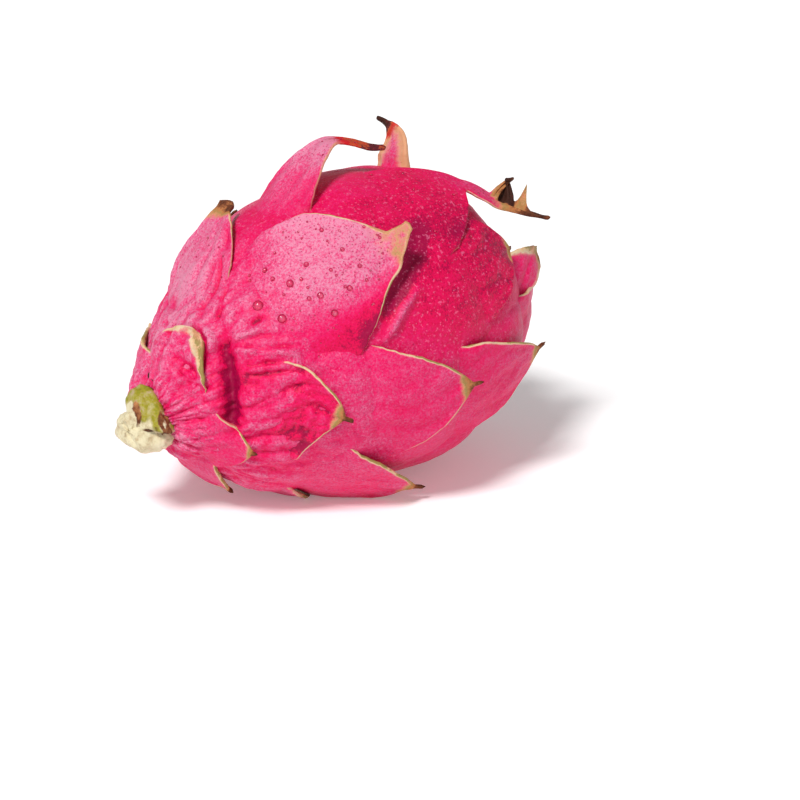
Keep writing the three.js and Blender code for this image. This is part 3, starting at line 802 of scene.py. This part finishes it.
# ---- materials ----
class Nodes:
    """A new node material, with short words for making and joining its nodes."""

    def __init__(self, name):
        self.material = bpy.data.materials.new(name)
        self.material.use_nodes = True
        self.tree = self.material.node_tree
        self.shader = self.tree.nodes["Principled BSDF"]

    def new(self, kind, settings=None, **inputs):
        node = self.tree.nodes.new(kind)
        for key, value in (settings or {}).items():
            setattr(node, key, value)
        for key, value in inputs.items():
            self.put(node.inputs[key.replace("_", " ")], value)
        return node

    def put(self, socket, value):
        if isinstance(value, bpy.types.NodeSocket):
            self.tree.links.new(value, socket)
        else:
            socket.default_value = value

    def math(self, operation, a, b=0.5, c=None, clamped=False):
        node = self.tree.nodes.new("ShaderNodeMath")
        node.operation = operation
        node.use_clamp = clamped
        for socket, value in zip(node.inputs, (a, b, c)):
            if value is not None:
                self.put(socket, value)
        return node.outputs[0]

    def swing(self, base, value, reach):
        """The base value, moved up or down by how far a pattern is from its middle."""
        return self.math("MULTIPLY_ADD", self.math("SUBTRACT", value, 0.5), reach, base)

    def noise(self, place, scale, detail=3, roughness=0.55):
        node = self.new("ShaderNodeTexNoise", Vector=place, Scale=scale, Detail=detail, Roughness=roughness)
        return node.outputs["Fac"]

    def dots(self, place, scale, size, edge):
        node = self.new("ShaderNodeTexVoronoi", Vector=place, Scale=scale, Randomness=1)
        return self.step(size, size * edge, node.outputs["Distance"])

    def ramp(self, factor, *stops):
        node = self.tree.nodes.new("ShaderNodeValToRGB")
        self.put(node.inputs[0], factor)
        band = node.color_ramp
        while len(band.elements) < len(stops):
            band.elements.new(1)
        for element, (position, colour) in zip(band.elements, stops):
            element.position = position
            element.color = (*colour, 1)
        return node.outputs["Color"]

    def blend(self, factor, a, b, kind="MIX"):
        node = self.tree.nodes.new("ShaderNodeMix")
        node.data_type = "RGBA"
        node.blend_type = kind
        self.put(node.inputs["Factor"], factor)
        self.put(node.inputs[6], a if isinstance(a, bpy.types.NodeSocket) else (*a, 1))
        self.put(node.inputs[7], b if isinstance(b, bpy.types.NodeSocket) else (*b, 1))
        return node.outputs[2]

    def step(self, low, high, value):
        node = self.new("ShaderNodeMapRange", {"interpolation_type": "SMOOTHSTEP"}, Value=value)
        self.put(node.inputs["From Min"], low)
        self.put(node.inputs["From Max"], high)
        return node.outputs["Result"]

    def bump(self, height, distance, strength=1.0, below=None):
        node = self.new("ShaderNodeBump", Height=height, Distance=distance, Strength=strength)
        if below is not None:
            self.put(node.inputs["Normal"], below)
        return node.outputs["Normal"]

    def attribute(self, name):
        vector = self.new("ShaderNodeAttribute", {"attribute_name": name}).outputs["Vector"]
        return vector, self.new("ShaderNodeSeparateXYZ", Vector=vector).outputs


DARK_PURPLE = (0.34, 0.001, 0.05)
CRIMSON = (0.7, 0.001, 0.07)
HOT_PINK = (0.76, 0.006, 0.115)
PINK = (0.71, 0.05, 0.175)
LIGHT_PINK = (0.72, 0.12, 0.26)
PALE_PINK = (0.72, 0.23, 0.36)
CREAM = (0.72, 0.46, 0.25)
PALE_CREAM = (0.7, 0.55, 0.36)
PINK_CREAM = (0.76, 0.3, 0.27)
LIGHT_SALMON = (0.76, 0.3, 0.25)
PEACH = (0.74, 0.36, 0.2)
OLIVE = (0.34, 0.25, 0.08)
YELLOW_GREEN = (0.4, 0.34, 0.09)
SALMON = (0.74, 0.22, 0.18)
DRY_BROWN = (0.17, 0.05, 0.018)
DARK_BROWN = (0.05, 0.016, 0.01)
ORANGE_BROWN = (0.5, 0.2, 0.07)
STRAW = (0.4, 0.27, 0.12)
TAN = (0.6, 0.3, 0.14)
BLOOD_RED = (0.6, 0.012, 0.018)
RUST = (0.5, 0.09, 0.025)
MAROON = (0.14, 0.012, 0.025)
DEEP_PINK = (0.5, 0.002, 0.09)
PAINTED_GLINT = (0.85, 0.2, 0.38)
DROP_PAINTED_RIM_SHADE = (0.42, 0.006, 0.08)
DROP_MIDDLE = (0.78, 0.07, 0.22)
DROP_PAINTED_LIGHT = (0.85, 0.42, 0.58)
STUB_GREEN = (0.16, 0.2, 0.01)
STUB_LEAF = (0.34, 0.29, 0.02)
STUB_TAN = (0.5, 0.38, 0.22)
STUB_CREAM = (0.72, 0.64, 0.42)
STUB_WHITE = (0.78, 0.7, 0.5)


def peel_material():
    n = Nodes("waxy_peel")
    at = n.new("ShaderNodeTexCoord").outputs["Object"]
    bloom, margin, dry = n.attribute("tone")[1]
    place, place_parts = n.attribute("place")
    mottle, specks, redness = n.attribute("pattern")[1]
    inside = place_parts[2]

    # The waxy bloom lies in soft patches, streaks and fine grains over the crimson skin.
    patches = n.noise(at, 70, 4)
    mottles = n.noise(at, 520, 3, 0.6)
    grains = n.noise(at, 1800, 2, 0.8)
    fibres = n.noise(n.new("ShaderNodeMapping", Vector=place, Scale=(0.7, 0.08, 1)).outputs[0], 1, 3)
    # The bloom attribute also holds painted shade in creases and lower corners and painted light on ridges.
    amount = n.swing(n.swing(bloom, patches, 0.4), fibres, 0.25)
    amount = n.swing(amount, mottles, n.math("MULTIPLY", mottle, 1.1))
    amount = n.swing(amount, grains, n.math("MULTIPLY_ADD", bloom, 1.4, 1.1))
    amount = n.math("MULTIPLY_ADD", amount, 0.72, 0.22)
    skin = n.ramp(
        amount,
        (0, DARK_PURPLE),
        (0.16, CRIMSON),
        (0.36, HOT_PINK),
        (0.56, PINK),
        (0.76, LIGHT_PINK),
        (0.95, PALE_PINK),
    )

    # Pores are small dark dots where the bloom is thick, and pale specks on the smooth scales are painted
    # glints of light on fine dew.
    pores = n.math("MULTIPLY", n.dots(at, 1150, 0.27, 0.5), n.step(0.1, 0.8, amount))
    skin = n.blend(n.math("MULTIPLY", pores, 0.8), skin, DEEP_PINK)
    # Painted highlights: pale specks stand in for glints on fine dew.
    glint_flecks = n.step(0.58, 0.7, n.noise(at, 1000, 2, 0.6))
    points = n.dots(at, 900, 0.2, 0.5)
    pale = n.math("MULTIPLY", n.math("MAXIMUM", glint_flecks, points), n.math("MULTIPLY", specks, 0.45))
    skin = n.blend(pale, skin, PAINTED_GLINT)

    # The inner side is paler, and thin edges dry from salmon through cream to olive.
    skin = n.blend(n.math("MULTIPLY", inside, 0.55), skin, SALMON)
    blotches = n.noise(at, 260, 4, 0.65)
    uneven = n.math("MULTIPLY", margin, n.swing(1, n.noise(at, 110, 3), 3.4))
    dried = n.swing(n.swing(uneven, blotches, 0.6), grains, 0.6)
    straw_edge = n.ramp(dried, (0.15, PINK_CREAM), (0.5, PALE_CREAM), (0.85, CREAM), (1, OLIVE))
    red_edge = n.ramp(dried, (0.3, SALMON), (0.75, LIGHT_SALMON), (1, PEACH))
    edge = n.blend(redness, straw_edge, red_edge)
    grainy = n.swing(uneven, grains, n.math("MULTIPLY", margin, 0.6))
    edged = n.step(0, n.math("MULTIPLY_ADD", redness, 0.5, 0.55), grainy)
    skin = n.blend(edged, skin, edge)

    # Withered tips.
    ragged = n.swing(n.swing(dry, blotches, 0.9), grains, 0.3)
    straw = [(0.1, SALMON), (0.3, TAN), (0.42, OLIVE), (0.58, ORANGE_BROWN), (0.75, DRY_BROWN)]
    red = [(0.08, SALMON), (0.16, BLOOD_RED), (0.46, BLOOD_RED), (0.56, RUST), (0.66, MAROON)]
    straw_husk = n.ramp(ragged, *straw, (0.95, DARK_BROWN))
    red_husk = n.ramp(ragged, *red, (0.85, DARK_BROWN))
    husk = n.blend(redness, straw_husk, red_husk)
    withered = n.math("MULTIPLY", n.step(0.0, 0.35, ragged), n.step(0.0, 0.2, dry))
    skin = n.blend(withered, skin, husk)

    n.put(n.shader.inputs["Base Color"], skin)
    shine = n.swing(0.4, grains, 0.3)
    n.put(n.shader.inputs["Roughness"], n.math("ADD", shine, n.math("MULTIPLY", withered, 0.25)))
    n.shader.inputs["Subsurface Weight"].default_value = 0.1
    n.shader.inputs["Subsurface Radius"].default_value = (1, 0.25, 0.3)
    n.shader.inputs["Subsurface Scale"].default_value = 0.0015
    n.shader.inputs["Specular IOR Level"].default_value = 0.15

    skin_grain = n.bump(n.noise(at, 1300, 2, 0.7), 0.00025)
    wrinkles = n.bump(n.noise(at, 300, 4, 0.6), 0.0008, 0.6, skin_grain)
    pitted = n.bump(n.math("MULTIPLY", pores, -1), 0.00006, 1, wrinkles)
    n.put(n.shader.inputs["Normal"], pitted)
    return n.material


def stub_material():
    """Pale cactus flesh with green skin, brown scars and streaks along its length."""
    n = Nodes("cactus_stub")
    at = n.new("ShaderNodeTexCoord").outputs["Object"]
    green, scar, end = n.attribute("tone")[1]
    blotches = n.noise(at, 260, 4, 0.6)
    fine = n.noise(at, 900, 3, 0.7)
    patches = n.swing(blotches, fine, 0.7)
    flesh = n.ramp(patches, (0.28, STUB_TAN), (0.52, STUB_CREAM), (0.8, STUB_WHITE))
    skin = n.ramp(patches, (0.3, STUB_GREEN), (0.5, STUB_LEAF), (0.62, YELLOW_GREEN), (0.75, STUB_TAN))
    colour = n.blend(n.step(0.35, 0.7, n.swing(green, blotches, 0.9)), flesh, skin)
    hurt = n.step(0.35, 0.65, n.swing(scar, fine, 0.8))
    bark = n.ramp(blotches, (0.4, DARK_BROWN), (0.55, DRY_BROWN), (0.7, ORANGE_BROWN))
    colour = n.blend(hurt, colour, bark)
    n.put(n.shader.inputs["Base Color"], colour)
    n.shader.inputs["Roughness"].default_value = 0.55
    n.shader.inputs["Specular IOR Level"].default_value = 0.2
    coarse = n.bump(blotches, 0.0012, 0.7)
    n.put(n.shader.inputs["Normal"], n.bump(fine, 0.0004, 0.7, coarse))
    return n.material


def husk_material():
    """Dry brown flower, papery and streaked."""
    n = Nodes("dry_flower_husk")
    at = n.new("ShaderNodeTexCoord").outputs["Object"]
    folds, _, torn = n.attribute("tone")[1]
    fine = n.noise(at, 700, 4, 0.7)
    # Darker in the creases of the folds and paler on their ridges.
    amount = n.swing(n.swing(folds, fine, 0.8), n.noise(at, 200, 3), 0.5)
    colour = n.ramp(amount, (0.2, DARK_BROWN), (0.55, DRY_BROWN), (0.8, STRAW))
    n.put(n.shader.inputs["Base Color"], colour)
    n.shader.inputs["Roughness"].default_value = 0.8
    n.put(n.shader.inputs["Normal"], n.bump(fine, 0.0006, 0.8))
    return n.material


def dew_material():
    """Water with a painted dark rim and painted gathered light, which lets lamplight through to the peel
    below.
    """
    n = Nodes("dew")
    painted_drop_light = n.attribute("tone")[1][0]
    # Painted shade at the rim and painted light at the top and on the side away from the lamp.
    water_and_painted_light = n.ramp(painted_drop_light, (0, DROP_PAINTED_RIM_SHADE), (0.5, DROP_MIDDLE), (1, DROP_PAINTED_LIGHT))
    n.put(n.shader.inputs["Base Color"], water_and_painted_light)
    n.shader.inputs["Roughness"].default_value = 0.14
    n.shader.inputs["IOR"].default_value = 1.4
    n.shader.inputs["Specular IOR Level"].default_value = 0.9
    n.shader.inputs["Transmission Weight"].default_value = 0.6
    clear = n.new("ShaderNodeBsdfTransparent", Color=(0.6, 0.2, 0.3, 1))
    shadow = n.tree.nodes.new("ShaderNodeLightPath").outputs["Is Shadow Ray"]
    both = n.tree.nodes.new("ShaderNodeMixShader")
    n.put(both.inputs[0], shadow)
    n.put(both.inputs[1], n.shader.outputs["BSDF"])
    n.put(both.inputs[2], clear.outputs["BSDF"])
    n.put(n.tree.nodes["Material Output"].inputs["Surface"], both.outputs[0])
    return n.material


# ---- stage ----
PIXELS_PER_MM = 3.96  # at the fruit's middle
FRAME_PIXELS = 800
MIDDLE_AT = (329, 334)  # the pixel of the fruit's middle
DISTANCE = 700
AZIMUTH = -37
ELEVATION = 20
SENSOR = 36


def camera():
    a, e = math.radians(AZIMUTH), math.radians(ELEVATION)
    back = Vector((math.sin(a) * math.cos(e), -math.cos(a) * math.cos(e), math.sin(e)))
    right = Vector((math.cos(a), math.sin(a), 0))
    up = back.cross(right)
    across = (MIDDLE_AT[0] - FRAME_PIXELS / 2) / PIXELS_PER_MM
    down = (MIDDLE_AT[1] - FRAME_PIXELS / 2) / PIXELS_PER_MM
    lens = bpy.data.cameras.new("camera")
    lens.sensor_width = SENSOR
    lens.lens = PIXELS_PER_MM * DISTANCE / FRAME_PIXELS * SENSOR
    lens.clip_start, lens.clip_end = 0.01, 10
    eye = bpy.data.objects.new("camera", lens)
    turn = Matrix((right, up, back)).transposed().to_4x4()
    place = CENTRE - right * across + up * down + back * DISTANCE
    eye.matrix_world = Matrix.Translation(place * MM) @ turn
    bpy.context.scene.collection.objects.link(eye)
    bpy.context.scene.camera = eye


def sun(name, toward, strength, spread):
    """A soft lamp that shines from the given direction."""
    lamp = bpy.data.lights.new(name, "SUN")
    lamp.energy = strength
    lamp.angle = math.radians(spread)
    light = bpy.data.objects.new(name, lamp)
    light.rotation_euler = Vector(toward).to_track_quat("Z", "Y").to_euler()
    bpy.context.scene.collection.objects.link(light)


def stage():
    bm = bmesh.new()
    bmesh.ops.create_grid(bm, x_segments=1, y_segments=1, size=4)
    mesh = bpy.data.meshes.new("floor")
    bm.to_mesh(mesh)
    bm.free()
    white = Nodes("white_floor")
    white.shader.inputs["Base Color"].default_value = (0.95, 0.95, 0.95, 1)
    white.shader.inputs["Roughness"].default_value = 0.95
    white.shader.inputs["Specular IOR Level"].default_value = 0.1
    white.shader.inputs["Emission Color"].default_value = (1, 1, 1, 1)
    white.shader.inputs["Emission Strength"].default_value = 0.16
    mesh.materials.append(white.material)
    floor = bpy.data.objects.new("floor", mesh)
    bpy.context.scene.collection.objects.link(floor)

    world = bpy.data.worlds.new("white_room")
    world.use_nodes = True
    tree = world.node_tree
    background = tree.nodes["Background"]
    background.inputs["Color"].default_value = (1, 1, 1, 1)
    seen = tree.nodes.new("ShaderNodeLightPath").outputs["Is Camera Ray"]
    level = tree.nodes.new("ShaderNodeMapRange")
    level.inputs["To Min"].default_value = 0.3
    level.inputs["To Max"].default_value = 1
    tree.links.new(seen, level.inputs["Value"])
    tree.links.new(level.outputs["Result"], background.inputs["Strength"])
    bpy.context.scene.world = world
    sun("key", KEY_WAY, 2.8, 14)
    sun("fill", (0.1, -1, 0.35), 0.25, 60)
    bpy.context.scene.view_settings.view_transform = "Standard"


# ---- the making ----
camera()
stage()
peel = peel_material()
rows = {row["name"]: [Scale(row, index, i) for i in range(row["count"])] for index, row in enumerate(ROWS)}
skin = Peel([s for scales in rows.values() for s in scales])
for row_name, scales in rows.items():
    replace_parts(scales_piece(row_name, scales, skin, peel), "fruit")
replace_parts(body_piece(skin, peel), "fruit")
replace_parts(stub_piece(), "stem_stub")
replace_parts(remnant_piece(), "flower_remnant")
dew_piece({s.name: s for scales in rows.values() for s in scales}, skin)
